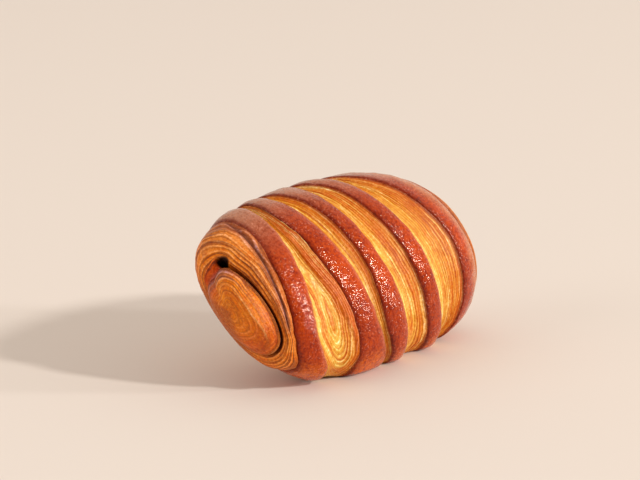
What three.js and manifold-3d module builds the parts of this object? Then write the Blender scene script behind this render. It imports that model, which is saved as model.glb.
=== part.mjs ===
// Pain au chocolat: laminated dough rolled round a chocolate baton, scored across and baked.
// Millimetres, +Z up. The roll lies along X with its open spiral end at -X. The origin is at the
// middle of the bounding box, on the surface that the pastry rests on.
import * as THREE from "three";
import { mergeVertices } from "three/addons/utils/BufferGeometryUtils.js";
import Module from "manifold-3d";

// Roll: a barrel with an oval section that leans back, cut a little askew at both ends.
const HALF_LENGTH = 62.8;
const LONG_RADIUS = 37.6; // oval section, the long way
const SHORT_RADIUS = 22.9; // oval section, the short way, at mid length
const SHORT_RADIUS_GROWTH = 5.5; // added to it from mid length to the +X end
const LEAN = 55; // degrees from the surface to the section's long way
const LEAN_GROWTH = 3.6; // degrees added from mid length to the +X end
const NOSE = 2.6; // barrel exponent along the roll: higher keeps it full nearer to the ends
const SHOULDER = 3.6; // barrel exponent across: higher makes the ends blunter
const SKEW_UP = -0.107; // how far a section moves along X for each millimetre of height
const SKEW_BACK = -0.148; // how far it moves along X for each millimetre towards the back

// Base: the underside has settled flat, and it is fuller behind, where the dough sank.
const SECTION_HEIGHT = 31.6; // section centre above the surface
const BASE_ROUNDING = 2.2; // height over which the side turns into the flat base
const SETTLED_FULLNESS = 0.3;
const SETTLED_ANGLE = 245; // degrees round the section
const SETTLED_WIDTH = 75; // degrees to each side
const SETTLED_REACH = 0.8; // share of the half length

// Five glazed strips of skin with four opened gaps of layers between them. Each line across the
// roll is given by its station (-1 to 1 along the roll) at every 45 degrees round the section,
// from the back crest (0) over the front (90) and the foot (180) to the underside (270).
const LINES = [
  [-0.69, -0.7, -0.8, -0.875, -0.855, -0.83, -0.8, -0.74], // strip 1, left edge
  [-0.48, -0.55, -0.645, -0.73, -0.65, -0.6, -0.57, -0.51], // strip 1, right edge
  [-0.42, -0.475, -0.465, -0.445, -0.45, -0.45, -0.45, -0.43], // strip 2, left edge
  [-0.31, -0.31, -0.29, -0.25, -0.14, -0.17, -0.23, -0.27], // strip 2, right edge
  [-0.27, -0.18, -0.172, -0.195, -0.08, -0.1, -0.16, -0.22], // strip 3, left edge
  [-0.025, -0.05, -0.04, -0.015, 0.04, 0.05, 0.03, 0], // strip 3, right edge
  [0.02, 0.13, 0.175, 0.19, 0.25, 0.2, 0.13, 0.07], // strip 4, left edge
  [0.19, 0.265, 0.32, 0.34, 0.39, 0.37, 0.31, 0.24], // strip 4, right edge
  [0.25, 0.5, 0.635, 0.615, 0.54, 0.49, 0.43, 0.34], // strip 5, left edge
  [0.62, 0.78, 0.84, 0.83, 0.78, 0.76, 0.73, 0.66], // strip 5, right edge
];
const STRIP_HEIGHT = 1.3;
const RELIEF_ROUNDNESS = 0.6; // exponent of the strips' and gaps' profile: lower is squarer
const GAP_DEPTH = [1.1, 2, 2.4, 2.2, 1.6, 0.8, 0.6, 0.8]; // round the section, as above
const BARREL_ROWS = [5, 5, 4, 4, 4, 5, 4, 6, 5]; // mesh rows from each line to the next

// Ends: the dough's core shows as a bulging oval, with the outer turn rolled round it. The gap
// between them runs from a hollow over the core's crest down its front. Radii are shares of the
// section, depths are millimetres, both round the section as above.
const CORE_RADIUS = [0.36, 0.53, 0.59, 0.585, 0.53, 0.56, 0.58, 0.45];
const OPEN_END = {
  bulge: 2.6,
  gapWidth: [0.15, 0.07, 0.045, 0.045, 0.045, 0.04, 0.04, 0.08],
  gapDepth: [4.5, 4.5, 4, 3.5, 2, 0.5, 0.3, 1.2],
};
const CLOSED_END = {
  bulge: 1.5,
  gapWidth: [0.05, 0.05, 0.05, 0.05, 0.05, 0.05, 0.05, 0.05],
  gapDepth: [1.5, 1.2, 0.8, 0.4, 0.4, 1, 1.5, 1.6],
};
const OUTER_TURN_HEIGHT = 1.2;
const GAP_EDGE_DEPTH = 0.25; // share of the gap's depth that its two edges have sunk
const GAP_ROUNDNESS = 0.7; // exponent of the gap's profile: lower is squarer
const CORE_EDGE_SHARPNESS = 6; // exponent of the core's fall to the gap
const TURN_EDGE_SHARPNESS = 4; // exponent of the outer turn's fall to the gap
const CORE_ROWS = 4;
const GAP_ROWS = 3;
const OUTER_TURN_ROWS = 4;

// Chocolate baton, in a channel of its own that opens in the hollow.
const BATON_LENGTH = 84;
const BATON_WIDTH = 10;
const BATON_THICKNESS = 5.5;
const BATON_CORNER = 1;
const BATON_START = -55; // X of its -X end
const BATON_CENTRE = { y: 5.2, z: 46.6 };
const BATON_TURN = 52; // degrees from upright to its wide side
const CLEARANCE = 0.3;
const CHANNEL_MOUTH = 20; // how far the channel's cutter runs out past the baton's -X end

const COLUMNS = 64; // mesh columns round the section
const NORMAL_STEP = 1e-3; // share and turn over which the surface's normal is measured
const MERGE_TOLERANCE = 1e-3; // millimetres
const CORNER_SEGMENTS = 3;

const toRadians = THREE.MathUtils.degToRad;
const lerp = THREE.MathUtils.lerp;

// A smooth closed curve through values that are given at equal angles, read at a turn of 0 to 1.
function around(values, turn) {
  const place = turn * values.length;
  const first = Math.floor(place);
  const step = place - first;
  const [a, b, c, d] = [-1, 0, 1, 2].map((i) => values[(first + i + values.length) % values.length]);
  const slopeB = (c - a) / 2;
  const slopeC = (d - b) / 2;
  const rise = c - b;
  const square = 3 * rise - 2 * slopeB - slopeC;
  const cube = slopeB + slopeC - 2 * rise;
  return b + step * (slopeB + step * (square + step * cube));
}

// Share of the full section at a station, and the station where the section has a given share.
const fullness = (station) => Math.pow(Math.max(0, 1 - Math.abs(station) ** NOSE), 1 / SHOULDER);
const stationOf = (share) => Math.pow(Math.max(0, 1 - share ** SHOULDER), 1 / NOSE);

// How much fuller the settled underside is than the plain oval.
function settling(station, turn) {
  const away = Math.abs(turn * 360 - SETTLED_ANGLE) / SETTLED_WIDTH;
  const along = station / SETTLED_REACH;
  if (away >= 1 || Math.abs(along) >= 1) return 1;
  return 1 + SETTLED_FULLNESS * Math.cos((away * Math.PI) / 2) ** 2 * (1 - along * along);
}

// Point on the plain barrel, before relief. The section's share is given as well as the station
// because it is the better coordinate near the ends.
function barrelPoint(station, share, turn) {
  const angle = turn * 2 * Math.PI;
  const lean = toRadians(LEAN + LEAN_GROWTH * station);
  const size = share * settling(station, turn);
  const longWay = LONG_RADIUS * size * Math.cos(angle);
  const shortWay = (SHORT_RADIUS + SHORT_RADIUS_GROWTH * station) * size * Math.sin(angle);
  const y = longWay * Math.cos(lean) - shortWay * Math.sin(lean);
  const z = longWay * Math.sin(lean) + shortWay * Math.cos(lean);
  return new THREE.Vector3(HALF_LENGTH * station + SKEW_UP * z + SKEW_BACK * y, y, z);
}

// Relief on an end, at a share of the way from the core's centre: 0 to 1 over the core, 1 to 2
// over the gap and 2 to 3 over the outer turn.
function endRelief(end, zone, turn) {
  const gapDepth = around(end.gapDepth, turn);
  const edgeDepth = gapDepth * GAP_EDGE_DEPTH;
  if (zone < 1) return end.bulge * (1 - zone ** 2) - edgeDepth * zone ** CORE_EDGE_SHARPNESS;
  if (zone < 2) {
    const profile = Math.sin((zone - 1) * Math.PI) ** GAP_ROUNDNESS;
    return -edgeDepth - (gapDepth - edgeDepth) * profile;
  }
  const dome = OUTER_TURN_HEIGHT * Math.sin((zone - 2) * Math.PI);
  return dome - edgeDepth * (3 - zone) ** TURN_EDGE_SHARPNESS;
}

// The mesh rows from the -X pole to the +X pole. Each is a function of the turn that gives the
// station, the section's share and the relief there.
function endRows(side, end, line) {
  const rows = [];
  const zones = [
    { from: 0, count: CORE_ROWS },
    { from: 1, count: GAP_ROWS },
    { from: 2, count: OUTER_TURN_ROWS },
  ];
  for (const { from, count } of zones) {
    for (let i = 0; i < count; i++) {
      const zone = from + i / count;
      rows.push((turn) => {
        const core = around(CORE_RADIUS, turn);
        const gap = core + around(end.gapWidth, turn);
        const rim = fullness(around(line, turn));
        const edges = [0, core, gap, rim];
        const share = lerp(edges[from], edges[from + 1], i / count);
        return { station: side * stationOf(share), share, relief: endRelief(end, zone, turn) };
      });
    }
  }
  return rows;
}

function barrelRows() {
  const rows = [];
  BARREL_ROWS.forEach((count, span) => {
    const isStrip = span % 2 === 0;
    for (let i = 0; i < count; i++) {
      const across = i / count;
      rows.push((turn) => {
        const station = lerp(around(LINES[span], turn), around(LINES[span + 1], turn), across);
        const rise = (4 * across * (1 - across)) ** RELIEF_ROUNDNESS;
        const relief = isStrip ? STRIP_HEIGHT * rise : -around(GAP_DEPTH, turn) * rise;
        return { station, share: fullness(station), relief };
      });
    }
  });
  return rows;
}

// Lifts what would lie below the surface up to it, with a rounded turn into the flat base.
function settle(z) {
  if (z >= BASE_ROUNDING) return z;
  return z <= -BASE_ROUNDING ? 0 : (z + BASE_ROUNDING) ** 2 / (4 * BASE_ROUNDING);
}

// Point on the finished outside: the barrel, with its relief along the outward normal.
function surfacePoint(row, turn) {
  const { station, share, relief } = row(turn);
  const point = barrelPoint(station, share, turn);
  const shareBeside = share > NORMAL_STEP ? share - NORMAL_STEP : share + NORMAL_STEP;
  const stationBeside = Math.sign(station) * stationOf(shareBeside);
  const along = barrelPoint(stationBeside, shareBeside, turn).sub(point);
  const open = Math.max(share, NORMAL_STEP);
  const round = barrelPoint(station, open, turn + NORMAL_STEP)
    .sub(barrelPoint(station, open, turn - NORMAL_STEP));
  const normal = along.cross(round).normalize();
  if (normal.dot(point) < 0) normal.negate();
  if (share < NORMAL_STEP) normal.set(Math.sign(station), 0, 0);
  point.addScaledVector(normal, relief);
  point.z = settle(point.z + SECTION_HEIGHT);
  return point;
}

// A unit sphere whose rows and columns are moved to the pastry's surface.
function pastryShell() {
  const rows = [
    ...endRows(-1, OPEN_END, LINES[0]),
    ...barrelRows(),
    (turn) => {
      const station = around(LINES.at(-1), turn);
      return { station, share: fullness(station), relief: 0 };
    },
    ...endRows(1, CLOSED_END, LINES.at(-1)).reverse(),
  ];
  const sphere = new THREE.SphereGeometry(1, COLUMNS, rows.length - 1);
  const place = sphere.attributes.position;
  for (let r = 0; r < rows.length; r++) {
    for (let c = 0; c <= COLUMNS; c++) {
      const turn = (COLUMNS - (c % COLUMNS)) / COLUMNS;
      const point = surfacePoint(rows[r], turn % 1);
      place.setXYZ(r * (COLUMNS + 1) + c, point.x, point.y, point.z);
    }
  }
  return sphere;
}

// A bar along X with rounded long edges, starting at x = 0.
function barAlongX(length, width, thickness, corner) {
  const section = new THREE.Shape();
  const x = width / 2 - corner;
  const y = thickness / 2 - corner;
  section.absarc(x, y, corner, 0, Math.PI / 2);
  section.absarc(-x, y, corner, Math.PI / 2, Math.PI);
  section.absarc(-x, -y, corner, Math.PI, 1.5 * Math.PI);
  section.absarc(x, -y, corner, 1.5 * Math.PI, 2 * Math.PI);
  section.closePath();
  const options = { depth: length, bevelEnabled: false, curveSegments: CORNER_SEGMENTS };
  const bar = new THREE.ExtrudeGeometry(section, options);
  return bar.rotateX(Math.PI / 2).rotateZ(Math.PI / 2);
}

// The bar turned and placed where the baton lies.
function placedBar(start, length, grow) {
  return barAlongX(length, BATON_WIDTH + 2 * grow, BATON_THICKNESS + 2 * grow, BATON_CORNER + grow)
    .rotateX(toRadians(BATON_TURN))
    .translate(start, BATON_CENTRE.y, BATON_CENTRE.z);
}

const wasm = await Module();
wasm.setup();

function toSolid(geometry) {
  const bare = geometry.clone();
  bare.deleteAttribute("normal");
  bare.deleteAttribute("uv");
  const merged = mergeVertices(bare, MERGE_TOLERANCE);
  return new wasm.Manifold(
    new wasm.Mesh({
      numProp: 3,
      vertProperties: merged.attributes.position.array,
      triVerts: new Uint32Array(merged.index.array),
    }),
  );
}

function toGeometry(solid) {
  const mesh = solid.getMesh();
  const geometry = new THREE.BufferGeometry();
  geometry.setAttribute("position", new THREE.BufferAttribute(mesh.vertProperties, 3));
  geometry.setIndex(new THREE.BufferAttribute(mesh.triVerts, 1));
  geometry.computeVertexNormals();
  return geometry;
}

const shell = toSolid(pastryShell());
const channel = toSolid(
  placedBar(BATON_START - CHANNEL_MOUTH, CHANNEL_MOUTH + BATON_LENGTH + CLEARANCE, CLEARANCE),
);
const pastryGeometry = toGeometry(shell.subtract(channel));
const batonGeometry = placedBar(BATON_START, BATON_LENGTH, 0);

// The origin goes to the middle of the bounding box, at the height of the base.
pastryGeometry.computeBoundingBox();
const middle = pastryGeometry.boundingBox.getCenter(new THREE.Vector3());

const crust = new THREE.MeshStandardMaterial({ color: 0xa8501c, roughness: 0.45, metalness: 0 });
const chocolate = new THREE.MeshStandardMaterial({ color: 0x24120b, roughness: 0.5, metalness: 0 });

function part(name, geometry, material) {
  const mesh = new THREE.Mesh(geometry, material);
  mesh.name = name;
  mesh.position.set(-middle.x, -middle.y, 0);
  return mesh;
}

const group = new THREE.Group();
group.add(part("pastry", pastryGeometry, crust));
group.add(part("chocolate_baton", batonGeometry, chocolate));

export default group;
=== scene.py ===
"""Pain au chocolat: the finished outside of the rolled, scored and baked dough, round the CAD frame."""

import math
from typing import NamedTuple

import bpy
import numpy as np
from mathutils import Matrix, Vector


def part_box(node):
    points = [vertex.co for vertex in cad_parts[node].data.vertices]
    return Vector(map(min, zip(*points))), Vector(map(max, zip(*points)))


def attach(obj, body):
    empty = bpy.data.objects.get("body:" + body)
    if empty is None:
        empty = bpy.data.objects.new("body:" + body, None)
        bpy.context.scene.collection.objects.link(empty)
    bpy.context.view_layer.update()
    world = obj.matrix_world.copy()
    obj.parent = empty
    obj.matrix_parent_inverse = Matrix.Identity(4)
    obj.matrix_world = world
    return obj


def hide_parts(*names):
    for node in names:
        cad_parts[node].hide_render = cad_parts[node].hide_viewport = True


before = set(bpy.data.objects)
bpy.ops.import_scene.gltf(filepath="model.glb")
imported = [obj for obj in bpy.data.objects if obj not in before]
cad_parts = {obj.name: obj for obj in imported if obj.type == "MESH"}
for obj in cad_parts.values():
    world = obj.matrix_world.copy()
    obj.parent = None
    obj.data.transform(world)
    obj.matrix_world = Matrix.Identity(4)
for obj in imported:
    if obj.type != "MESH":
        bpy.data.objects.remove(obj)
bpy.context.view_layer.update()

MM = 0.001

# A place on the roll has a station, from -1 at the open end to 1 at the closed one, a share of the
# section's size, and a turn round the section from the back crest, over the front at 90 degrees
# and the foot at 180, to the underside at 270. Lists of eight values hold one for every 45
# degrees of turn.

# ---- The roll, as in the CAD part: millimetres and degrees ----
HALF_LENGTH = 62.8
LONG_RADIUS = 37.6
SHORT_RADIUS = 22.9
SHORT_RADIUS_GROWTH = 5.5
LEAN = 55
LEAN_GROWTH = 3.6
NOSE = 2.6
SHOULDER = 3.6
SKEW_UP = -0.107
SKEW_BACK = -0.148
SECTION_HEIGHT = 31.6
BASE_ROUNDING = 2.2
SETTLED_FULLNESS = 0.3
SETTLED_ANGLE = 245
SETTLED_WIDTH = 75
SETTLED_REACH = 0.8

# ---- Strips and gaps ----
# Stations of the strips' edges, two edges to a strip.
EDGES = [
    [-0.69, -0.70, -0.80, -0.875, -0.855, -0.83, -0.80, -0.74],
    [-0.48, -0.55, -0.645, -0.73, -0.65, -0.60, -0.57, -0.51],
    [-0.42, -0.475, -0.465, -0.445, -0.45, -0.45, -0.45, -0.43],
    [-0.31, -0.31, -0.29, -0.25, -0.14, -0.17, -0.23, -0.27],
    [-0.27, -0.18, -0.172, -0.195, -0.08, -0.10, -0.16, -0.22],
    [-0.025, -0.05, -0.04, -0.015, 0.04, 0.05, 0.03, 0.0],
    [0.02, 0.13, 0.175, 0.19, 0.25, 0.20, 0.13, 0.07],
    [0.19, 0.265, 0.32, 0.34, 0.39, 0.37, 0.31, 0.24],
    [0.25, 0.50, 0.635, 0.615, 0.54, 0.49, 0.43, 0.34],
    [0.62, 0.80, 0.865, 0.855, 0.80, 0.76, 0.73, 0.66],
]
EDGE_WANDER = 0.006
EDGE_TEARS = 0.0045
STRIP_HEIGHT = [1.0, 1.2, 1.4, 1.35, 1.2, 0.7, 0.5, 0.7]
GAP_DEPTH = [1.1, 2.0, 2.4, 2.2, 1.6, 0.8, 0.6, 0.8]
LEDGE_HEIGHT = 0.75
FULL_LEDGE_DEPTH = 1.6
FLAP_HEIGHT = 0.7


class Gap(NamedTuple):
    """One opened gap between two strips."""

    rows: int  # of the mesh
    layers: int
    crowding: float  # over 1, the layers crowd towards the right
    # A gap's cream is partly the layers' own pale colour and partly painted light where they face the
    # lamps.
    creaminess: float
    creamy_at: float  # share of the way across
    loops: float = 0.0  # share of its low half's layers that turn back in nested U turns
    loops_middle: float = 0.5
    loops_from: float = 150
    loops_reach: float = 60


GAPS = [
    Gap(44, 11, 1.3, 0.9, 0.42, loops=1.0, loops_middle=0.47, loops_from=128, loops_reach=62),
    Gap(20, 5, 1.4, 0.6, 0.4),
    Gap(36, 9, 1.6, 0.8, 0.4, loops=0.6, loops_middle=0.36, loops_from=128, loops_reach=70),
    Gap(56, 14, 1.15, 0.65, 0.3),
]
FLAP_GAP = 0

# ---- Ends: a core, a crevice round it, and the outer turn of dough out to the rim ----
CORE_RADIUS = [0.36, 0.53, 0.59, 0.585, 0.53, 0.56, 0.58, 0.45]
CORE_LAYERS = 7
OUTER_TURN_LAYERS = 7
OUTER_TURN_HEIGHT = 1.2
# The crevice widens into a hollow behind the core, at the back of the open end.
HOLLOW_WIDENING = 0.04
HOLLOW_AT = 26
# Direction round the section that sets where the hollow's walls get their painted shade, and where the
# core's back rim turns mauve.
HOLLOW_BEHIND = 350


class End(NamedTuple):
    """One end of the roll."""

    side: int
    core_zone: int
    turn_zone: int
    rim_edge: int
    gap_width: list  # shares of the section
    gap_depth: list
    deepest: list  # where across the crevice, from the core at 0 to the lip at 1
    bulge: float
    layer_wander: float
    wander_size: float
    streaky: float
    rows: list  # of the mesh, from the open end's side on


# Zones of the mesh: 0 core, 1 crevice and 2 outer turn of the open end, 3 to 11 strips and gaps
# in turn, 12 outer turn, 13 crevice and 14 core of the closed end.
FIRST_STRIP_ZONE = 3
LAST_STRIP_ZONE = FIRST_STRIP_ZONE + len(EDGES) - 2
LAST_ZONE = LAST_STRIP_ZONE + 3

OPEN_END = End(
    side=-1,
    core_zone=0,
    turn_zone=2,
    rim_edge=0,
    gap_width=[0.15, 0.07, 0.045, 0.045, 0.045, 0.04, 0.04, 0.08],
    gap_depth=[4.2, 4.5, 4.0, 3.5, 2.0, 0.5, 0.3, 1.2],
    # By the core at the hollow, and under the lip elsewhere.
    deepest=[0.3, 0.45, 0.7, 0.75, 0.7, 0.5, 0.4, 0.3],
    bulge=2.6,
    layer_wander=0.07,
    wander_size=5,
    streaky=1.0,
    rows=[34, 12, 36],
)
CLOSED_END = End(
    side=1,
    core_zone=LAST_ZONE,
    turn_zone=LAST_ZONE - 2,
    rim_edge=len(EDGES) - 1,
    gap_width=[0.05] * 8,
    gap_depth=[1.5, 1.2, 0.8, 0.4, 0.4, 1.0, 1.5, 1.6],
    deepest=[0.5] * 8,
    bulge=1.5,
    layer_wander=0.05,
    wander_size=11,
    streaky=0.6,
    rows=[16, 8, 20],
)

# The crease that leaves the open end's rim, as shares of the section at every 15 degrees from 15.
CREASE_FROM = 15
CREASE_STEP = 15
CREASE = [0.873, 0.852, 0.832, 0.81, 0.78, 0.745, 0.715, 0.69, 0.665]
CREASE_HALF_WIDTH = 0.008
CREASE_DEPTH = 0.7
CREASE_FOLD = 0.35

# The pocket over the baton's end, from the baton's middle line.
POCKET_BEHIND = 1.8
POCKET_ABOVE = 2.3
POCKET_RADIUS = 1.7
POCKET_NARROWING = 1.4
POCKET_DEPTH = 5.0
POCKET_STATION = -0.9

# ---- Mesh columns round the roll, and rows across a strip ----
COLUMNS = 260
STRIP_ROWS = 20


# ================= Colours =================


def srgb(red, green, blue):
    """A colour given as on a screen, 0 to 255, as linear RGBA."""
    linear = [(c / 255) ** 2.2 for c in (red, green, blue)]
    return (*linear, 1.0)


# Skin of the strips.
GLAZE = srgb(156, 51, 0)
GLAZE_SHOULDER = srgb(192, 68, 0)
GLAZE_FOOT = srgb(214, 100, 16)
# Painted sheen: the pale room's reflection in the glaze, painted as a tan on the strips' tops.
TOP_PAINTED_SHEEN = srgb(178, 124, 96)
TAN_SIDE = srgb(196, 122, 76)
PALE_EDGE = srgb(200, 130, 98)
# Painted shade: dark red-brown on the strips' left edges, the flanks that face away from the lamps, and on
# the core's edge by the deep crevice.
RED_BROWN_PAINTED_SHADE = srgb(112, 26, 3)

# Opened layers of the gaps.
AMBER = srgb(208, 129, 0)
CREAM = srgb(230, 177, 68)
ORANGE = srgb(196, 94, 0)
# Painted shade in the recess under the next strip's lip.
DEEP_ORANGE_PAINTED_SHADE = srgb(176, 64, 0)
FLAP = srgb(202, 88, 8)
ORANGE_BAND = srgb(206, 100, 0)
CREAM_BAND = srgb(240, 190, 98)
# Dark streaks of the layers, and painted shade in the clefts under their edges.
GAP_GROOVE = srgb(180, 76, 0)

# Ends of the roll.
END_DOUGH = srgb(224, 116, 2)
# Dark streaks of the ends' layers, and painted shade in the clefts under their edges.
END_GROOVE = srgb(110, 48, 30)
CORE_LOW = srgb(196, 72, 4)
CORE_RIM = srgb(126, 78, 66)
# Painted highlight along the ridge down the core's front.
CORE_RIDGE_PAINTED_HIGHLIGHT = srgb(244, 176, 96)
TURN_TOP = srgb(206, 118, 40)
TURN_RIM = srgb(160, 66, 16)
# Painted shade: orange-red on the hollow's walls, and near-black down in the crevice.
HOLLOW_WALL_PAINTED_SHADE = srgb(214, 84, 4)
CREVICE_PAINTED_SHADE = srgb(58, 18, 6)
# Painted shade: near-black on the dough deep in the pocket.
POCKET_PAINTED_SHADE = srgb(26, 9, 5)
# Painted shade: mauve beside the crease, and darker down in it.
CREASE_SIDE_PAINTED_SHADE = srgb(140, 84, 66)
CREASE_PAINTED_SHADE = srgb(84, 44, 38)
CLOSED_DOUGH = srgb(190, 112, 44)
CLOSED_RIM = srgb(150, 66, 26)

BAKED_UNDERSIDE = srgb(180, 94, 38)
CHOCOLATE_DARK = srgb(28, 14, 9)
CHOCOLATE_LIGHT = srgb(52, 28, 18)
FLOOR = srgb(226, 216, 208)
ROOM = srgb(244, 232, 219)


def plain(colour, points):
    """One colour at every point."""
    return np.zeros(points.shape) + np.array(colour[:3])


def blend(base, colour, weight):
    return base + (np.array(colour[:3]) - base) * np.clip(weight, 0, 1)[..., None]


# ================= Curves and noise =================

# A seed is any number: it differs between features, so that their noises don't line up.


def around(values, turn):
    """A smooth closed curve through values at equal angles, read at turns of 0 to 1."""
    values = np.asarray(values, float)
    place = (np.asarray(turn) % 1.0) * len(values)
    first = np.floor(place).astype(int)
    step = place - first
    a, b, c, d = (values[(first + i) % len(values)] for i in (-1, 0, 1, 2))
    slope_b, slope_c, rise = (c - a) / 2, (d - b) / 2, c - b
    curve = 3 * rise - 2 * slope_b - slope_c + step * (slope_b + slope_c - 2 * rise)
    return b + step * (slope_b + step * curve)


def smooth(value, low, high):
    """0 below low, 1 above high, and a smooth rise between."""
    t = np.clip((value - low) / (high - low), 0, 1)
    return t * t * (3 - 2 * t)


def between(value, start, full, fading, gone):
    """A smooth rise from start to full, and a smooth fall from fading to gone."""
    return smooth(value, start, full) * (1 - smooth(value, fading, gone))


def bump(value, middle, width):
    """A smooth bell of height 1."""
    return np.exp(-(((value - middle) / width) ** 2))


def noise(points, cell, seed):
    """Smooth value noise between -1 and 1, with lumps about a cell across."""
    size = 32
    lattice = np.random.default_rng(seed).uniform(-1, 1, (size, size, size))
    place = points / np.asarray(cell, float)
    low = np.floor(place).astype(int)
    step = place - low
    step = step * step * (3 - 2 * step)
    total = np.zeros(points.shape[:-1])
    for corner in np.ndindex(2, 2, 2):
        index = (low + corner) % size
        weight = np.prod(np.where(np.array(corner, bool), step, 1 - step), axis=-1)
        total += weight * lattice[index[..., 0], index[..., 1], index[..., 2]]
    return total


def ring_noise(turn, cells, seed):
    """Smooth noise round the section that closes on itself, with that many lumps in a turn."""
    angle = 2 * np.pi * np.asarray(turn)
    radius = cells / (2 * np.pi)
    ring = np.stack([radius * np.cos(angle), radius * np.sin(angle), 0 * angle], axis=-1) + 50
    return noise(ring, 1, seed)


def ledges(phase, turn, seed):
    """Layer edges along whole values of the phase: saw teeth that come and go round the section."""
    lines, stretches = 64, 16
    table = np.random.default_rng(seed).uniform(0, 1, (lines, lines))
    line = np.floor(phase).astype(int)
    place = turn * stretches
    low = np.floor(place).astype(int)
    step = place - low
    step = step * step * (3 - 2 * step)
    here, after = table[line % lines, low % stretches], table[line % lines, (low + 1) % stretches]
    strength = here * (1 - step) + after * step
    part = phase - line
    return strength * ((1 - part) ** 1.5 * smooth(part, 0, 0.14))


# ================= The plain barrel =================


def edge_station(number, turn):
    """Station of a strip's edge, which wanders a little as torn dough does."""
    wander = EDGE_WANDER * ring_noise(turn, 18, 200 + number)
    tears = EDGE_TEARS * ring_noise(turn, 58, 300 + number)
    return around(EDGES[number], turn) + (wander + tears)


def fullness(station):
    return np.maximum(0, 1 - np.abs(station) ** NOSE) ** (1 / SHOULDER)


def station_of(share):
    return np.maximum(0, 1 - share**SHOULDER) ** (1 / NOSE)


def settling(station, turn):
    """How much fuller the dough is where it settled on the tray."""
    away = np.clip(np.abs(turn * 360 - SETTLED_ANGLE) / SETTLED_WIDTH, 0, 1)
    along = np.clip(np.abs(station) / SETTLED_REACH, 0, 1)
    return 1 + SETTLED_FULLNESS * np.cos(away * np.pi / 2) ** 2 * (1 - along**2)


def barrel(station, share, turn):
    """Points of the plain barrel before relief, round the section centre line."""
    angle = turn * 2 * np.pi
    lean = np.radians(LEAN + LEAN_GROWTH * station)
    size = share * settling(station, turn)
    long_way = LONG_RADIUS * size * np.cos(angle)
    short_way = (SHORT_RADIUS + SHORT_RADIUS_GROWTH * station) * size * np.sin(angle)
    y = long_way * np.cos(lean) - short_way * np.sin(lean)
    z = long_way * np.sin(lean) + short_way * np.cos(lean)
    return np.stack([HALF_LENGTH * station + SKEW_UP * z + SKEW_BACK * y, y, z], axis=-1)


def settle(z):
    """Lifts what would lie below the surface up to it, with a rounded turn into the flat base."""
    rounded = (z + BASE_ROUNDING) ** 2 / (4 * BASE_ROUNDING)
    return np.where(z >= BASE_ROUNDING, z, np.where(z <= -BASE_ROUNDING, 0, rounded))


class Rows:
    """The mesh rows from pole to pole, as arrays of one row each, filled zone by zone."""

    def __init__(self, turn):
        self.turn = turn
        self.fields = {name: [] for name in ("station", "share", "zone", "across")}

    def add(self, zone, across, station, share):
        for name, value in zip(self.fields, (station, share, zone, across)):
            self.fields[name].append(np.broadcast_to(value, self.turn.shape))

    def end(self, end):
        core = around(CORE_RADIUS, self.turn)
        hollow = HOLLOW_WIDENING * bump(self.turn * 360, HOLLOW_AT, 15) * (end.side < 0)
        lip = core + around(end.gap_width, self.turn) + hollow
        edges = [0 * core, core, lip, fullness(edge_station(end.rim_edge, self.turn))]
        parts = range(3) if end.side < 0 else (2, 1, 0)
        first_zone = min(end.core_zone, end.turn_zone)
        for number, (part, count) in enumerate(zip(parts, end.rows)):
            for i in range(count):
                across = i / count
                inwards = across if end.side < 0 else 1 - across
                share = edges[part] + (edges[part + 1] - edges[part]) * inwards
                self.add(first_zone + number, across, end.side * station_of(share), share)

    def span(self, zone, count, left, right):
        for i in range(count):
            across = i / count
            low, high = edge_station(left, self.turn), edge_station(right, self.turn)
            station = low + (high - low) * across
            self.add(zone, across, station, fullness(station))


def lay_rows():
    turn = np.arange(COLUMNS) / COLUMNS
    rows = Rows(turn)
    rows.end(OPEN_END)
    for span in range(len(EDGES) - 1):
        count = STRIP_ROWS if span % 2 == 0 else GAPS[span // 2].rows
        rows.span(FIRST_STRIP_ZONE + span, count, span, span + 1)
    rows.end(CLOSED_END)
    rows.add(LAST_ZONE, 1.0, 1.0, 0.0)
    grid = {name: np.array(values) for name, values in rows.fields.items()}
    grid["turn"] = np.broadcast_to(turn, grid["station"].shape)
    return grid


def outward(points):
    """Unit normals and the unit direction along the roll, by differences over the grid."""
    along = np.gradient(points, axis=0)
    round_way = np.roll(points, -1, axis=1) - np.roll(points, 1, axis=1)
    normal = np.cross(round_way, along)
    length = np.linalg.norm(normal, axis=-1, keepdims=True)
    normal = normal / np.maximum(length, 1e-12)
    if np.sum(normal * points) < 0:
        normal = -normal
    for pole, beside in ((0, 1), (-1, -2)):
        normal[pole] = normal[beside].mean(axis=0)
    along = along / np.maximum(np.linalg.norm(along, axis=-1, keepdims=True), 1e-9)
    return normal, along


# ================= Relief and tint =================


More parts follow.
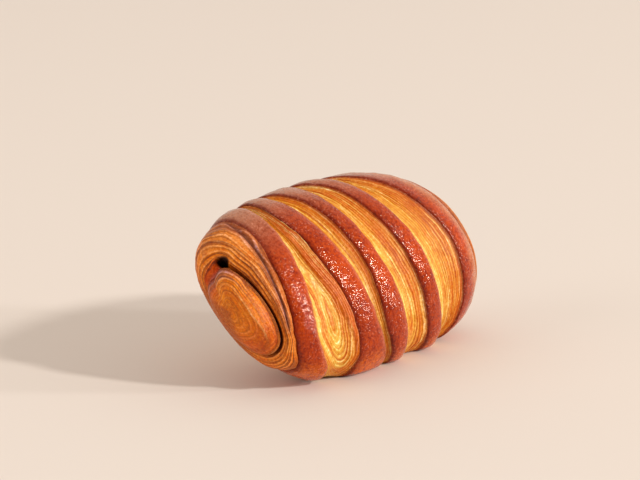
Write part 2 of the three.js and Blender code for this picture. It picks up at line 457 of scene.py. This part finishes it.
class Surface:
    """The pastry's outside: a grid of points in millimetres, its relief and its shading fields."""

    def __init__(self):
        grid = lay_rows()
        self.station, self.share, self.turn = grid["station"], grid["share"], grid["turn"]
        self.zone, self.across = grid["zone"], grid["across"]
        self.degrees = self.turn * 360
        self.points = barrel(self.station, self.share, self.turn)
        self.normal, self.along = outward(self.points)
        self.relief = np.zeros(self.zone.shape)
        self.overhang = np.zeros(self.zone.shape)
        self.tint = np.zeros(self.points.shape)
        self.skin = np.ones(self.zone.shape)
        self.phase = np.zeros(self.zone.shape)
        self.streaky = np.ones(self.zone.shape)

    def noise(self, cell, seed, stretch=(1, 1, 1)):
        return noise(self.points * np.array(stretch), cell, seed)

    def dress(self, here, **fields):
        """Sets the named fields where the mask says."""
        for name, value in fields.items():
            old = getattr(self, name)
            mask = here[..., None] if old.ndim == 3 else here
            setattr(self, name, np.where(mask, value, old))

    def tone(self, colour, weight):
        self.tint = blend(self.tint, colour, weight)

    def shaped(self):
        """The points with their relief, standing on the flat base."""
        points = self.points + self.normal * self.relief[..., None] + self.along * self.overhang[..., None]
        points[..., 2] = settle(points[..., 2] + SECTION_HEIGHT)
        return points

    def shading(self):
        end = 1.0 * ((self.zone < FIRST_STRIP_ZONE) | (self.zone > LAST_STRIP_ZONE))
        shading = {"skin": self.skin, "end": end, "phase": self.phase}
        return shading | {"streaky": self.streaky, "tint": self.tint}


def strip_relief(surface):
    """Domed strips of skin, with a lip that overhangs the gap on their left."""
    across = surface.across
    height = around(STRIP_HEIGHT, surface.turn)
    flatness = np.where(surface.zone == FIRST_STRIP_ZONE, 3.2, 2.9)
    dome = np.maximum(0, 1 - np.abs(2 * across - 1) ** flatness) ** 0.85
    lip = 0.35 * bump(across, 0, 0.12) * np.clip(height, 0, 1)
    lumps = 0.32 * surface.noise(9, 11) + 0.16 * surface.noise(3.6, 12)
    wrinkles = 0.08 * surface.noise(1.5, 13)
    relief = height * dome + lip + lumps * (0.3 + 0.7 * dome) + wrinkles
    overhang = -0.4 * bump(across, 0, 0.1) * np.clip(height, 0, 1)
    return relief, overhang


def skin_tint(surface):
    """Glazed crust: a painted sheen in tan on top, red-brown on the shoulder, oranger at the foot, and
    painted shade down each strip's left edge.
    """
    across, degrees, zone = surface.across, surface.degrees, surface.zone
    slow = surface.noise(12, 70)
    tint = plain(GLAZE, surface.points)
    from_crest = (degrees + 180) % 360 - 180
    # The tan on top is a painted sheen, the room's reflection painted into the glaze, fading down the
    # front and down the back.
    painted_sheen_until = np.where(zone == FIRST_STRIP_ZONE, 84, 66)
    front = smooth(from_crest + 8 * slow, 9, painted_sheen_until)
    back = smooth(8 * slow - from_crest, 0, 62)
    tint = blend(tint, TOP_PAINTED_SHEEN, 0.85 * (1 - front) * (1 - back))
    tint = blend(tint, GLAZE_SHOULDER, 0.7 * bump(degrees + 10 * slow, 95, 22))
    foot = smooth(degrees + 8 * slow, 150, 178) * (1 - smooth(degrees, 225, 300))
    tint = blend(tint, GLAZE_FOOT, 0.85 * foot)
    tanned = (zone == LAST_STRIP_ZONE) * smooth(across + 0.1 * slow, 0.25, 0.7)
    tint = blend(tint, TAN_SIDE, 0.75 * tanned)
    # Painted shade down each strip's left edge, the flank that faces away from the lamps.
    tint = blend(tint, RED_BROWN_PAINTED_SHADE, 0.85 * bump(across, 0, 0.12))
    return blend(tint, PALE_EDGE, 0.75 * bump(across, 1, 0.13) * (1 - foot))


def gap_phase(number, surface):
    """Which layer shows, as a running number, across an opened gap."""
    gap, degrees = GAPS[number], surface.degrees
    slow = surface.noise(5, 20 + number, stretch=(1, 0.35, 0.35))
    fine = surface.noise(1.8, 30 + number, stretch=(1, 0.3, 0.3))
    warped = np.clip(surface.across + 0.035 * slow + 0.012 * fine, 0, 1)
    parallel = warped**gap.crowding
    middle = gap.loops_middle
    aside = (warped - middle) / np.where(warped > middle, 1 - middle, middle)
    down = np.clip(degrees - gap.loops_from, 0, 70) / gap.loops_reach
    loops = np.hypot(aside, down * (1 + 0.15 * slow))
    weight = between(degrees, 70, 120, 215, 260) * gap.loops
    return gap.layers * (parallel * (1 - weight) + 0.8 * loops * weight)


def flap_edge(degrees):
    """Where across its gap the darker flap that hangs from strip 2 begins."""
    return 0.52 + 0.4 * smooth(degrees, 70, 160)


def gap_relief(number, surface, phase):
    """A shallow valley with its layers as ledges, and a crease under the next strip's lip."""
    across, turn, degrees = surface.across, surface.turn, surface.degrees
    depth = around(GAP_DEPTH, turn)
    valley = np.sin(np.pi * across**0.75) ** 0.9
    creases = bump(across, 1, 0.035) * 0.45 + bump(across, 0, 0.025) * 0.25
    relief = -depth * (0.1 + 0.85 * valley) - creases
    climb = 0.45 + 0.55 * smooth(across, 0.2, 0.6)
    steps = LEDGE_HEIGHT * climb * ledges(phase, turn, 50 + number)
    relief += steps * np.minimum(depth, FULL_LEDGE_DEPTH) / FULL_LEDGE_DEPTH
    relief += 0.12 * surface.noise(2.2, 60 + number)
    if number == FLAP_GAP:
        flap = smooth(across - flap_edge(degrees), 0, 0.05) * (1 - smooth(degrees, 150, 175))
        relief += FLAP_HEIGHT * flap * smooth(degrees, 20, 60)
    return relief


def gap_tint(number, surface):
    """Opened layers: amber, with cream, partly their own pale colour and partly painted light where the
    gap's front and its left side face the lamps, and orange towards the next strip, the layers' own colour
    deepening into painted shade under its lip.
    """
    gap, across, degrees = GAPS[number], surface.across, surface.degrees
    slow = surface.noise(6, 80 + number, stretch=(1, 0.5, 0.5))
    tint = plain(AMBER, surface.points)
    # Painted light: cream where the gap's front faces the lamps, and on its left side, which faces them
    # too; the orange below is weaker where lit.
    lit = between(degrees, 60, 120, 200, 250)
    left = 1 - smooth(across + 0.1 * slow, 0.05, 0.45)
    middle = bump(across + 0.08 * slow, gap.creamy_at, 0.28)
    tint = blend(tint, CREAM, gap.creaminess * (0.35 * left + lit * np.maximum(middle, 0.6 * left)))
    tint = blend(tint, ORANGE, (0.75 - 0.25 * lit) * smooth(across + 0.12 * slow, 0.45, 0.95))
    # Painted shade: deeper orange in the recess under the next strip's lip.
    tint = blend(tint, DEEP_ORANGE_PAINTED_SHADE, 0.85 * smooth(across, 0.86, 1.0))
    if number == FLAP_GAP:
        flap = smooth(across - flap_edge(degrees), -0.02, 0.03) * smooth(degrees, 20, 60)
        tint = blend(tint, FLAP, 0.8 * flap * (1 - smooth(degrees, 150, 185)))
    # Painted light: cream along the gap's left side, beside the previous strip, on the front that faces
    # the lamps.
    beside = bump(across, 0.1, 0.1) * smooth(degrees, 35, 70) * (1 - smooth(degrees, 170, 210))
    tint = blend(tint, CREAM, 0.7 * beside)
    # Painted shade: a thin orange line in the crease along the gap's left edge.
    return blend(tint, ORANGE, 0.7 * bump(across, 0, 0.03))


def end_layers(end, surface, kind, layers, inwards):
    """Which layer of an end shows, and the slow noise that it wanders by."""
    slow = surface.noise(end.wander_size, 40 + kind)
    return layers * (inwards + end.layer_wander * slow), slow


def end_dough(end, tint):
    """The closed end's dough is browner."""
    return blend(tint, CLOSED_DOUGH, 0.6) if end is CLOSED_END else tint


def dress_core(end, surface, inwards):
    """The spiral's middle, with mauve at its back rim, a ridge down its front with a painted highlight
    along it, and painted shade at its edge by the crevice.
    """
    degrees, turn = surface.degrees, surface.turn
    depth = around(end.gap_depth, turn)
    phase, slow = end_layers(end, surface, 0, CORE_LAYERS, inwards)
    rim = smooth(inwards, 0.3, 0.8)
    relief = end.bulge * (1 - inwards**2) - depth * 0.2 * inwards**8
    relief = relief + 0.3 * rim * ledges(phase, turn, 55)

    wide = surface.noise(7, 90)
    low_half = 0.6 * smooth(degrees + 20 * wide, 95, 150) * smooth(inwards, 0.2, 0.8)
    tint = blend(plain(END_DOUGH, surface.points), CORE_LOW, low_half)
    bands = bump(inwards, 0.95, 0.08) + 0.7 * bump(inwards + 0.03 * wide, 0.8, 0.035)
    back = np.cos(np.radians(degrees - HOLLOW_BEHIND))
    tint = blend(tint, CORE_RIM, 0.8 * bands * smooth(back, 0.1, 0.7))
    tint = end_dough(end, tint)

    if end is OPEN_END:
        ridge_at = np.interp(degrees, [60, 112, 157], [0.6, 0.6, 0.84])
        shown = between(degrees, 58, 82, 140, 165)
        away = inwards - ridge_at + 0.02 * slow
        relief = relief + shown * (0.45 * bump(away, 0, 0.05) - 0.9 * smooth(away, 0, 0.4))
        # Painted highlight: a pale line along the ridge.
        tint = blend(tint, CORE_RIDGE_PAINTED_HIGHLIGHT, 0.6 * shown * bump(away, -0.01, 0.02))
    # Painted shade on the core's edge where it falls into the crevice, darker where the crevice is deeper.
    tint = blend(tint, RED_BROWN_PAINTED_SHADE, 0.8 * smooth(inwards, 0.93, 1.0) * np.clip(depth / 3, 0, 1))
    streaky = end.streaky * (0.35 + 0.5 * rim * (1 - smooth(degrees, 60, 110)))
    surface.dress(surface.zone == end.core_zone, relief=relief, tint=tint, phase=phase, streaky=streaky)


def dress_crevice(end, surface, inwards):
    """The crevice round the core, darkened with painted shade where it is deep and faces away from the
    lamps, and the hollow that it widens into, with orange-red painted shade on its walls.
    """
    degrees, turn = surface.degrees, surface.turn
    depth, low = around(end.gap_depth, turn), around(end.deepest, turn)
    phase, _ = end_layers(end, surface, 1, 1, inwards)
    fall = np.clip(inwards / low, 0, 1) ** 1.4
    rise = np.clip((1 - inwards) / (1 - low), 0, 1) ** 0.8
    relief = -depth * (0.2 + 0.8 * fall * rise)

    tint = end_dough(end, plain(END_DOUGH, surface.points))
    # Painted shade: softer and orange-red in the hollow, darker down the crevice where it is deep and
    # faces away from the lamps.
    hollow = smooth(np.cos(np.radians(degrees - HOLLOW_BEHIND)), 0.72, 0.9) * (end is OPEN_END)
    dark = np.clip(depth / 2.5, 0.3, 1) * bump(inwards, low, 0.5 - 0.3 * hollow)
    dark = dark * (0.45 + 0.55 * smooth(degrees, 75, 125))
    tint = blend(tint, HOLLOW_WALL_PAINTED_SHADE, hollow)
    tint = blend(tint, CREVICE_PAINTED_SHADE, dark * (1 - 0.55 * hollow))
    here = surface.zone == (end.core_zone + end.turn_zone) // 2
    surface.dress(here, relief=relief, tint=tint, phase=phase, streaky=end.streaky)


def dress_outer_turn(end, surface, inwards):
    """The last turn of dough, with its layers as arcs and a browner rim."""
    degrees, turn = surface.degrees, surface.turn
    depth = around(end.gap_depth, turn)
    phase, _ = end_layers(end, surface, 2, OUTER_TURN_LAYERS, inwards)
    relief = -depth * 0.2 * (1 - inwards) ** 5 + OUTER_TURN_HEIGHT * np.sin(inwards * np.pi)
    arcs = 0.35 + 0.4 * (1 - smooth(degrees, 50, 90))
    relief = relief + arcs * ledges(phase, turn, 56) * smooth(inwards, 0.05, 0.2)

    wide = surface.noise(7, 92)
    top = 0.6 * (1 - smooth(degrees, 70, 110)) * smooth(inwards, 0.1, 0.4)
    tint = blend(plain(END_DOUGH, surface.points), TURN_TOP, top)
    tint = blend(tint, TURN_RIM, 0.6 * smooth(inwards + 0.1 * wide, 0.72, 1.0))
    tint = end_dough(end, tint)
    if end is CLOSED_END:
        tint = blend(tint, CLOSED_RIM, 0.8 * smooth(inwards, 0.6, 0.9))
    here = surface.zone == end.turn_zone
    surface.dress(here, relief=relief, tint=tint, phase=phase, streaky=0.8 * end.streaky)


def dress_underside(surface):
    """The roll's own bottom, which baked flat on the tray, unglazed and unscored."""
    under = between(surface.degrees + 7 * surface.noise(9, 71), 212, 248, 296, 330)
    surface.tone(BAKED_UNDERSIDE, 0.9 * under)
    surface.streaky = surface.streaky * (1 - 0.7 * under)
    surface.skin = surface.skin * (1 - 0.8 * under)


def dress_crease(surface):
    """A groove over the open end's outer turn, with a low fold beyond it, mauve painted shade beside the
    groove and darker painted shade down in it.
    """
    degrees = surface.degrees
    stations = CREASE_FROM + CREASE_STEP * np.arange(len(CREASE))
    offset = surface.share - np.interp(degrees, stations, CREASE)
    shown = between(degrees, 12, 30, 118, 138) * (surface.zone < FIRST_STRIP_ZONE)
    groove = shown * bump(offset, 0, CREASE_HALF_WIDTH)
    beyond = shown * smooth(offset, 0, 0.012) * (1 - smooth(offset, 0.012, 0.05)) * smooth(degrees, 35, 65)
    surface.relief = surface.relief - CREASE_DEPTH * groove + CREASE_FOLD * beyond
    # Painted shade beside the crease and in it.
    surface.tone(CREASE_SIDE_PAINTED_SHADE, 0.5 * shown * bump(offset, -0.005, 0.025))
    surface.tone(CREASE_PAINTED_SHADE, 0.85 * groove)


def dress_pocket(surface):
    """The pocket over the baton's end, which opens at the top of the hollow, its dough painted black as
    painted shade.
    """
    low, high = (np.array(corner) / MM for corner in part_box("chocolate_baton"))
    baton = (low + high) / 2
    aside = (surface.points[..., 1] - baton[1] - POCKET_BEHIND) / POCKET_NARROWING
    above = surface.points[..., 2] - (baton[2] - SECTION_HEIGHT) - POCKET_ABOVE
    pocket = np.exp(-((np.hypot(aside, above) / POCKET_RADIUS) ** 4)) * (surface.station < POCKET_STATION)
    # Painted shade: the dough down in the pocket painted black.
    black = smooth(pocket, 0.03, 0.25)
    surface.relief = surface.relief - POCKET_DEPTH * pocket
    surface.tone(POCKET_PAINTED_SHADE, black)
    surface.streaky = surface.streaky * (1 - black)


def build_surface():
    """The finished surface, dressed part by part."""
    surface = Surface()
    surface.relief, surface.overhang = strip_relief(surface)
    surface.tint = skin_tint(surface)
    for number in range(len(GAPS)):
        here = surface.zone == FIRST_STRIP_ZONE + 1 + 2 * number
        phase = gap_phase(number, surface)
        streaky = 0.6 + 0.4 * smooth(surface.across, 0.25, 0.6)
        surface.dress(here, relief=gap_relief(number, surface, phase), overhang=0, skin=0.0)
        surface.dress(here, tint=gap_tint(number, surface), phase=phase, streaky=streaky)
    for end in (OPEN_END, CLOSED_END):
        inwards = surface.across if end is OPEN_END else 1 - surface.across
        dress_core(end, surface, inwards)
        dress_crevice(end, surface, inwards)
        dress_outer_turn(end, surface, inwards)
    at_ends = (surface.zone < FIRST_STRIP_ZONE) | (surface.zone > LAST_STRIP_ZONE)
    surface.dress(at_ends, overhang=0, skin=0.0)
    dress_underside(surface)
    dress_crease(surface)
    dress_pocket(surface)
    return surface


# ================= Mesh =================


def centred(points):
    """The points moved so that their box has the CAD pastry's middle in X and Y."""
    low, high = (np.array(corner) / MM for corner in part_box("pastry"))
    middle = (points.min(axis=(0, 1)) + points.max(axis=(0, 1))) / 2
    move = (low + high) / 2 - middle
    return points + [move[0], move[1], 0]


def grid_faces(rows, columns):
    """Faces over a grid with one vertex at each pole, and the grid place of each face's corners."""
    last = 1 + (rows - 2) * columns

    def index(row, column):
        return 1 + (row - 1) * columns + column % columns

    faces = []
    corners = []
    for c in range(columns):
        faces.append((0, index(1, c), index(1, c + 1)))
        corners.append(((c + 0.5, 0), (c, 1), (c + 1, 1)))
    for r in range(1, rows - 2):
        for c in range(columns):
            faces.append((index(r, c), index(r + 1, c), index(r + 1, c + 1), index(r, c + 1)))
            corners.append(((c, r), (c, r + 1), (c + 1, r + 1), (c + 1, r)))
    for c in range(columns):
        faces.append((index(rows - 2, c), last, index(rows - 2, c + 1)))
        corners.append(((c, rows - 2), (c + 0.5, rows - 1), (c + 1, rows - 2)))
    return faces, corners


def per_vertex(values):
    """A field over the grid as one row for each vertex, with each pole's row averaged."""
    shape = (-1, 3) if values.ndim == 3 else (-1, 1)
    first, last = (values[pole].reshape(shape).mean(0) for pole in (0, -1))
    return np.vstack([first, values[1:-1].reshape(shape), last])


def grid_mesh(name, points, fields):
    """A closed mesh over the grid, with a UV map and the fields as attributes."""
    rows, columns = points.shape[:2]
    faces, corners = grid_faces(rows, columns)
    mesh = bpy.data.meshes.new(name)
    mesh.from_pydata((per_vertex(points) * MM).tolist(), [], faces)
    uv = mesh.uv_layers.new(name="OFBake")
    places = np.array([place for corner in corners for place in corner], float)
    places[:, 0] /= columns
    places[:, 1] /= rows - 1
    uv.data.foreach_set("uv", (0.002 + 0.996 * places).ravel())
    for field, values in fields.items():
        colour = values.ndim == 3
        attribute = mesh.attributes.new(field, "FLOAT_COLOR" if colour else "FLOAT", "POINT")
        flat = per_vertex(values)
        if colour:
            flat = np.hstack([flat, np.ones((len(flat), 1))])
        attribute.data.foreach_set("color" if colour else "value", flat.astype(np.float32).ravel())
    mesh.polygons.foreach_set("use_smooth", [True] * len(mesh.polygons))
    mesh.update()
    piece = bpy.data.objects.new(name, mesh)
    bpy.context.scene.collection.objects.link(piece)
    return piece


# ================= Materials =================


class Nodes:
    """Short names for making shader nodes."""

    def __init__(self, name):
        self.material = bpy.data.materials.new(name)
        self.material.use_nodes = True
        self.tree = self.material.node_tree
        self.shader = self.tree.nodes["Principled BSDF"]

    def add(self, kind, settings=None, **inputs):
        node = self.tree.nodes.new(kind)
        for name, value in (settings or {}).items():
            setattr(node, name, value)
        for name, value in inputs.items():
            self.put(node.inputs[name.replace("_", " ")], value)
        return node

    def put(self, socket, value):
        if isinstance(value, bpy.types.NodeSocket):
            self.tree.links.new(value, socket)
        else:
            socket.default_value = value

    def field(self, name, output="Fac"):
        return self.add("ShaderNodeAttribute", {"attribute_name": name}).outputs[output]

    def maths(self, operation, *values):
        node = self.add("ShaderNodeMath", {"operation": operation})
        for socket, value in zip(node.inputs, values):
            self.put(socket, value)
        return node.outputs[0]

    def times(self, first, second):
        return self.maths("MULTIPLY", first, second)

    def total(self, *weighted):
        """The sum of values by their weights."""
        total, *others = (self.times(value, weight) for value, weight in weighted)
        for other in others:
            total = self.maths("ADD", total, other)
        return total

    def mix(self, factor, first, second, blend="MIX"):
        node = self.add("ShaderNodeMix", {"data_type": "RGBA", "blend_type": blend})
        self.put(node.inputs["Factor"], factor)
        self.put(node.inputs[6], first)
        self.put(node.inputs[7], second)
        return node.outputs[2]

    def multiply(self, colour, by, factor=1.0):
        return self.mix(factor, colour, by, "MULTIPLY")

    def lighten(self, colour, by, factor=1.0):
        return self.mix(factor, colour, by, "ADD")

    def noise(self, scale, detail=2.0, roughness=0.5, distortion=0.0):
        place = self.add("ShaderNodeTexCoord").outputs["Object"]
        node = self.add("ShaderNodeTexNoise", Vector=place, Scale=scale, Detail=detail)
        node.inputs["Roughness"].default_value = roughness
        node.inputs["Distortion"].default_value = distortion
        return node.outputs["Fac"]

    def streaks(self, phase, lines, scale):
        """Noise drawn out along the lines of equal phase."""
        place = self.add("ShaderNodeTexCoord").outputs["Object"]
        place = self.add("ShaderNodeMapping", Vector=place, Scale=(scale, scale, scale)).outputs["Vector"]
        node = self.add("ShaderNodeTexNoise", {"noise_dimensions": "4D"}, Vector=place, Detail=4.0)
        node.inputs["Scale"].default_value = 1.0
        node.inputs["Roughness"].default_value = 0.65
        self.put(node.inputs["W"], self.times(phase, lines))
        return node.outputs["Fac"]

    def ramp(self, factor, *stops):
        """A ramp through stops of a position and a colour or a grey."""
        node = self.tree.nodes.new("ShaderNodeValToRGB")
        self.put(node.inputs["Fac"], factor)
        elements = node.color_ramp.elements
        while len(elements) < len(stops):
            elements.new(0.5)
        for element, (position, colour) in zip(elements, stops):
            grey = isinstance(colour, (int, float))
            element.position = position
            element.color = (colour,) * 3 + (1,) if grey else colour
        return node.outputs["Color"]


def glazed_colour(m, tint, mottle, blisters):
    """Egg-washed skin: blotched, less so where it is pale, the lightest blotches a painted highlight, and
    flecked with painted glints.
    """
    patches = m.noise(45, detail=3)
    # The lightest blotches are painted highlight, pale blister tops standing in for the glaze's glints.
    blotches_and_painted_highlights = m.ramp(
        m.total((mottle, 0.25), (patches, 0.15), (blisters, 0.6)),
        (0.39, (0.58, 0.30, 0.12, 1)),
        (0.47, (0.90, 0.80, 0.66, 1)),
        (0.54, (1.08, 1.12, 1.15, 1)),
        (0.64, (1.28, 1.60, 2.00, 1)),
    )
    paleness = m.add("ShaderNodeSeparateColor", Color=tint).outputs["Blue"]
    glazed = m.multiply(tint, blotches_and_painted_highlights, m.ramp(paleness, (0.0, 1.0), (0.09, 0.38)))
    # Painted glints: tiny pale specks added to the colour, standing in for the glaze's highlights.
    painted_glints = m.ramp(m.noise(1300, detail=2), (0.57, 0.0), (0.66, 1.0))
    flecked = m.ramp(m.noise(110, detail=3), (0.42, 0.15), (0.60, 1.0))
    return m.lighten(glazed, (0.17, 0.09, 0.065, 1), m.times(painted_glints, flecked))


def banded_tint(m, tint, phase, end):
    """The gaps' tint with broad bands of orange and cream along the layers; the ends have none."""
    opened = m.maths("SUBTRACT", 0.75, m.times(end, 0.75))
    bands = m.streaks(phase, 0.6, 30)
    orange = m.times(m.ramp(bands, (0.38, 1.0), (0.50, 0.0)), opened)
    cream = m.times(m.ramp(bands, (0.52, 0.0), (0.64, 1.0)), opened)
    return m.mix(cream, m.mix(orange, tint, ORANGE_BAND), CREAM_BAND)


def layered_colour(m, tint, phase, grain, mottle, blisters, fine):
    """Layers streaked along their edges: dark in the clefts as painted shade, pale on ridges, and palest
    at the brinks as a painted highlight.
    """
    end, streaky = m.field("end"), m.field("streaky")
    tint = banded_tint(m, tint, phase, end)
    # The groove colour paints the layers' dark streaks and the painted shade in the clefts.
    groove = m.mix(end, GAP_GROOVE, END_GROOVE)
    ridge = m.lighten(m.multiply(tint, (1.15, 1.35, 1.6, 1)), (0, 0.005, 0.02, 1))
    # Painted highlight along the brinks of the layer edges.
    brink_highlight = m.lighten(m.multiply(tint, (1.25, 1.9, 3.0, 1)), (0.05, 0.03, 0.07, 1))

    edge = m.maths("FRACT", phase)
    # Painted shade in the cleft at each layer edge, and a painted highlight on the crest just above it.
    cleft_shade = m.ramp(edge, (0.0, 1.0), (0.1, 0.25), (0.22, 0.0), (0.80, 0.0), (1.0, 1.0))
    cleft_shade = m.times(cleft_shade, m.ramp(grain, (0.40, 1.0), (0.62, 0.3)))
    crest = m.ramp(edge, (0.08, 0.0), (0.20, 1.0), (0.34, 0.6), (0.55, 0.0))
    crest = m.times(crest, m.ramp(grain, (0.42, 0.25), (0.54, 1.0)))
    browner = m.maths("SUBTRACT", grain, m.times(end, 0.05))
    low = m.maths("MAXIMUM", m.ramp(browner, (0.36, 1.0), (0.47, 0.0)), cleft_shade)
    high = m.ramp(grain, (0.54, 0.0), (0.66, 1.0))
    layered = m.mix(m.times(m.times(low, streaky), 0.95), tint, groove)
    layered = m.mix(m.times(m.times(high, streaky), 0.7), layered, ridge)
    layered = m.mix(m.times(crest, streaky), layered, brink_highlight)

    # Mottling, with painted shade and painted highlight that follow the blister noise.
    mottle_and_blister_shading = m.ramp(
        m.total((blisters, 0.6), (mottle, 0.4)),
        (0.38, (0.93, 0.70, 0.35, 1)),
        (0.50, (1.00, 1.00, 1.00, 1)),
        (0.61, (1.18, 1.40, 2.40, 1)),
    )
    pores = m.ramp(fine, (0.38, (0.66, 0.50, 0.40, 1)), (0.50, 1.0), (0.62, (1.30, 1.45, 1.90, 1)))
    return m.multiply(m.multiply(layered, mottle_and_blister_shading), pores, m.times(end, 0.4))


def crust_material():
    """Glossy wrinkled glaze where skin is 1, and matte streaked layers where it is 0."""
    m = Nodes("crust")
    skin, phase, tint = m.field("skin"), m.field("phase"), m.field("tint", "Color")
    mottle = m.noise(170, detail=4, roughness=0.6)
    blisters = m.noise(900, detail=3, roughness=0.6, distortion=0.3)
    fine = m.noise(1000, detail=3, roughness=0.6)
    grain = m.streaks(phase, 1.7, 45)

    glazed = glazed_colour(m, tint, mottle, blisters)
    layered = layered_colour(m, tint, phase, grain, mottle, blisters, fine)
    m.put(m.shader.inputs["Base Color"], m.mix(skin, layered, glazed))

    gloss = m.maths("ADD", m.times(mottle, 0.16), 0.02)
    matte = m.maths("ADD", m.times(fine, 0.4), 0.2)
    rough = m.add("ShaderNodeMix", {"data_type": "FLOAT"})
    for socket, value in zip((rough.inputs[0], rough.inputs[2], rough.inputs[3]), (skin, matte, gloss)):
        m.put(socket, value)
    m.put(m.shader.inputs["Roughness"], rough.outputs[0])
    m.shader.inputs["Specular IOR Level"].default_value = 0.31
    m.shader.inputs["Specular Tint"].default_value = (1.0, 0.82, 0.68, 1)

    wrinkles = m.noise(1100, detail=1.0, roughness=0.5, distortion=0.3)
    wrinkled = m.add("ShaderNodeBump", Strength=1.0, Distance=0.00027, Height=wrinkles)
    lined = m.add("ShaderNodeBump", Strength=m.maths("SUBTRACT", 1.0, skin), Distance=0.0004)
    m.put(lined.inputs["Height"], grain)
    m.put(lined.inputs["Normal"], wrinkled.outputs["Normal"])
    m.put(m.shader.inputs["Normal"], lined.outputs["Normal"])
    return m.material


def chocolate_material():
    """Satin dark chocolate with a faint bloom."""
    m = Nodes("chocolate")
    bloom = m.noise(260, detail=4, roughness=0.6)
    m.put(m.shader.inputs["Base Color"], m.ramp(bloom, (0.3, CHOCOLATE_DARK), (0.7, CHOCOLATE_LIGHT)))
    m.put(m.shader.inputs["Roughness"], m.maths("ADD", m.times(bloom, 0.3), 0.35))
    grain = m.add("ShaderNodeBump", Strength=0.4, Distance=0.0003, Height=bloom)
    m.put(m.shader.inputs["Normal"], grain.outputs["Normal"])
    return m.material


def floor_material():
    m = Nodes("pale_floor")
    m.shader.inputs["Base Color"].default_value = FLOOR
    m.shader.inputs["Roughness"].default_value = 0.8
    return m.material


# ================= Stage =================

# Azimuth 0 looks along +Y with +X to the right. Degrees, metres and, for the lens, millimetres.
VIEW_AZIMUTH = -52.3
VIEW_ELEVATION = 14.2
VIEW_DISTANCE = 1.106
LENS = 163.3
SENSOR_WIDTH = 36
AIM_LEFT = 0.0071
AIM_UP = 0.0146
AIM_HEIGHT = 0.0304

FLOOR_RADIUS = 6.0
FLOOR_SIDES = 64
FLOOR_DROP = 0.0002

# The room is dimmest where the viewer stands and brightest behind the object and above it.
ROOM_TILT = -35
ROOM_RANGE = (-0.3, 0.9)
ROOM_STRENGTH = (0.42, 1.0)


class Light(NamedTuple):
    """A round area light that faces the object."""

    name: str
    azimuth: float
    elevation: float
    distance: float
    size: float
    watts: float
    colour: tuple


LIGHTS = [
    Light("key", 13, 31, 6.0, 0.55, 205, (1.0, 0.97, 0.92)),
    Light("low_key", 33, 15, 6.0, 0.65, 120, (1.0, 0.97, 0.95)),
    Light("side_fill", -118, 22, 2.5, 1.6, 12, (1.0, 0.95, 0.9)),
]


def view_axes(azimuth, elevation):
    """Unit vectors towards the viewer, to the right and up the picture."""
    azimuth, elevation = math.radians(azimuth), math.radians(elevation)
    towards = Vector((math.sin(azimuth), -math.cos(azimuth), 0)) * math.cos(elevation)
    towards.z = math.sin(elevation)
    right = Vector((math.cos(azimuth), math.sin(azimuth), 0))
    return towards, right, towards.cross(right)


def add_facing(name, data, towards, place):
    """An object whose -Z points back along the direction towards it."""
    piece = bpy.data.objects.new(name, data)
    piece.location = place
    piece.rotation_euler = (-towards).to_track_quat("-Z", "Y").to_euler()
    bpy.context.scene.collection.objects.link(piece)
    return piece


def add_camera():
    towards, right, up = view_axes(VIEW_AZIMUTH, VIEW_ELEVATION)
    aim = Vector((0, 0, AIM_HEIGHT)) - right * AIM_LEFT + up * AIM_UP
    data = bpy.data.cameras.new("camera")
    data.lens = LENS
    data.sensor_width = SENSOR_WIDTH
    data.clip_end = 50
    camera = add_facing("camera", data, towards, aim + towards * VIEW_DISTANCE)
    bpy.context.scene.camera = camera


def add_light(light):
    towards, _, _ = view_axes(light.azimuth, light.elevation)
    data = bpy.data.lights.new(light.name, "AREA")
    data.shape = "DISK"
    data.size = light.size
    data.energy = light.watts
    data.color = light.colour
    add_facing(light.name, data, towards, towards * light.distance)


def add_floor():
    mesh = bpy.data.meshes.new("floor")
    angles = [2 * math.pi * i / FLOOR_SIDES for i in range(FLOOR_SIDES)]
    ring = [(FLOOR_RADIUS * math.cos(a), FLOOR_RADIUS * math.sin(a), -FLOOR_DROP) for a in angles]
    mesh.from_pydata(ring, [], [range(FLOOR_SIDES)])
    floor = bpy.data.objects.new("floor", mesh)
    bpy.context.scene.collection.objects.link(floor)
    mesh.materials.append(floor_material())


def add_world():
    """A pale room, evenly coloured."""
    world = bpy.data.worlds.new("studio")
    world.use_nodes = True
    tree = world.node_tree
    direction = tree.nodes.new("ShaderNodeTexCoord").outputs["Generated"]
    behind = tree.nodes.new("ShaderNodeVectorMath")
    behind.operation = "DOT_PRODUCT"
    towards, _, _ = view_axes(VIEW_AZIMUTH, ROOM_TILT)
    behind.inputs[1].default_value = -towards
    tree.links.new(direction, behind.inputs[0])
    strength = tree.nodes.new("ShaderNodeMapRange")
    strength.interpolation_type = "SMOOTHSTEP"
    for name, value in zip(("From Min", "From Max", "To Min", "To Max"), ROOM_RANGE + ROOM_STRENGTH):
        strength.inputs[name].default_value = value
    tree.links.new(behind.outputs["Value"], strength.inputs["Value"])
    background = tree.nodes["Background"]
    background.inputs["Color"].default_value = ROOM
    tree.links.new(strength.outputs["Result"], background.inputs["Strength"])
    bpy.context.scene.world = world


bpy.context.scene.view_settings.view_transform = "Standard"
add_camera()
add_world()
add_floor()
for light in LIGHTS:
    add_light(light)

surface = build_surface()
pastry = grid_mesh("baked_dough", centred(surface.shaped()), surface.shading())
pastry.data.materials.append(crust_material())
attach(pastry, "root")
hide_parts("pastry")

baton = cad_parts["chocolate_baton"]
for material_slot in baton.material_slots:
    material_slot.material = chocolate_material()
